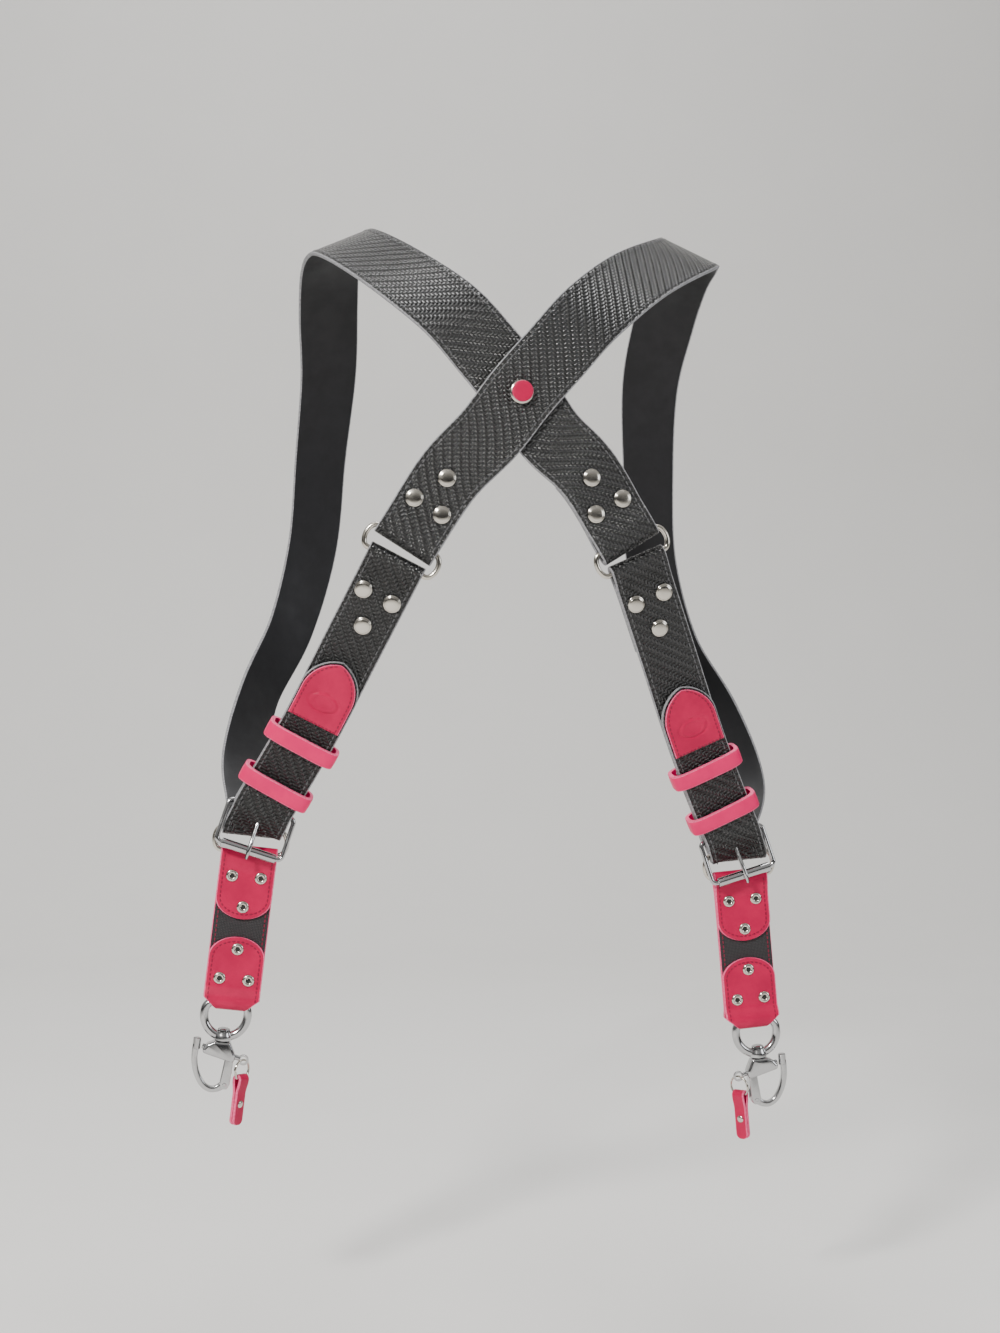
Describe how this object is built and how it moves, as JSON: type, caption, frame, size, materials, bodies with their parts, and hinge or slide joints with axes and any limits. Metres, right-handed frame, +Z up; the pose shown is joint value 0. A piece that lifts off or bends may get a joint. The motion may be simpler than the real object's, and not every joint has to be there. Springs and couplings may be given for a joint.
{
  "type": "dual camera harness",
  "caption": "Crossed leather shoulder harness in black woven-look leather and pink, with roller buckles, rings and a swivel snap shackle on a tab at each hip to carry a camera.",
  "frame": {"origin": "midway between the places where the two straps rest on the wearer's shoulders", "axes": "+Z up, +Y the way the wearer faces, +X toward the wearer's right side, seen on the right from behind"},
  "size_m": [0.3565, 0.2334, 0.5472],
  "materials": {
    "strap_leather": "glossy embossed twill",
    "pink_leather": "smooth, slight sheen",
    "bright_pink_leather": "smooth, slight sheen",
    "nickel": "polished nickel plate",
    "chrome": "polished stainless steel"
  },
  "bodies": {
    "harness": {"long_strap_left": "strap_leather", "buckle_strap_left": "strap_leather", "back_ring_left": "nickel", "buckle_frame_left": "nickel", "buckle_roller_left": "nickel", "buckle_prong_left": "nickel", "hip_ring_left": "nickel", "tip_patch_left": "pink_leather", "keeper_left_1": "bright_pink_leather", "keeper_left_2": "bright_pink_leather", "strap_rivet_left_1": "nickel", "buckle_strap_rivet_left_1": "nickel", "strap_rivet_left_2": "nickel", "buckle_strap_rivet_left_2": "nickel", "strap_rivet_left_3": "nickel", "buckle_strap_rivet_left_3": "nickel", "camera_tab_left": "pink_leather", "tab_rivet_left_1": "nickel", "tab_rivet_left_2": "nickel", "tab_rivet_left_3": "nickel", "tab_rivet_left_4": "nickel", "tab_rivet_left_5": "nickel", "tab_rivet_left_6": "nickel", "shackle_eye_left": "chrome", "long_strap_right": "strap_leather", "buckle_strap_right": "strap_leather", "back_ring_right": "nickel", "buckle_frame_right": "nickel", "buckle_roller_right": "nickel", "buckle_prong_right": "nickel", "hip_ring_right": "nickel", "tip_patch_right": "pink_leather", "keeper_right_1": "bright_pink_leather", "keeper_right_2": "bright_pink_leather", "strap_rivet_right_1": "nickel", "buckle_strap_rivet_right_1": "nickel", "strap_rivet_right_2": "nickel", "buckle_strap_rivet_right_2": "nickel", "strap_rivet_right_3": "nickel", "buckle_strap_rivet_right_3": "nickel", "camera_tab_right": "pink_leather", "tab_rivet_right_1": "nickel", "tab_rivet_right_2": "nickel", "tab_rivet_right_3": "nickel", "tab_rivet_right_4": "nickel", "tab_rivet_right_5": "nickel", "tab_rivet_right_6": "nickel", "shackle_eye_right": "chrome", "stud_post": "nickel", "stud_disc": "pink_leather"},
    "shackle_left": {"shackle_body_left": "chrome"},
    "gate_left": {"shackle_gate_left": "chrome"},
    "pin_left": {"shackle_pin_left": "chrome", "pull_ring_left": "chrome", "pull_tab_left": "bright_pink_leather"},
    "shackle_right": {"shackle_body_right": "chrome"},
    "gate_right": {"shackle_gate_right": "chrome"},
    "pin_right": {"shackle_pin_right": "chrome", "pull_ring_right": "chrome", "pull_tab_right": "bright_pink_leather"}
  },
  "joints": [
    {"name": "swivel_left", "type": "hinge", "parent": "harness", "child": "shackle_left", "pos_m": [-0.15794, -0.05618, -0.45933], "axis": [0.1045, 0, 0.9945], "continuous": true},
    {"name": "gate_hinge_left", "type": "hinge", "parent": "shackle_left", "child": "gate_left", "pos_m": [-0.15819, -0.05618, -0.49902], "axis": [0, -1, 0], "range_deg": [0, 90]},
    {"name": "pin_slide_left", "type": "slide", "parent": "shackle_left", "child": "pin_left", "axis": [0.9397, 0, -0.342], "range_m": [0, 0.006], "stiffness_N_per_m": 400, "springref_m": -0.003},
    {"name": "swivel_right", "type": "hinge", "parent": "harness", "child": "shackle_right", "pos_m": [0.15794, -0.05618, -0.47233], "axis": [-0.1045, 0, 0.9945], "continuous": true},
    {"name": "gate_hinge_right", "type": "hinge", "parent": "shackle_right", "child": "gate_right", "pos_m": [0.15819, -0.05618, -0.51202], "axis": [0, 1, 0], "range_deg": [0, 90]},
    {"name": "pin_slide_right", "type": "slide", "parent": "shackle_right", "child": "pin_right", "axis": [-0.9397, 0, -0.342], "range_m": [0, 0.006], "stiffness_N_per_m": 400, "springref_m": -0.003}
  ]
}
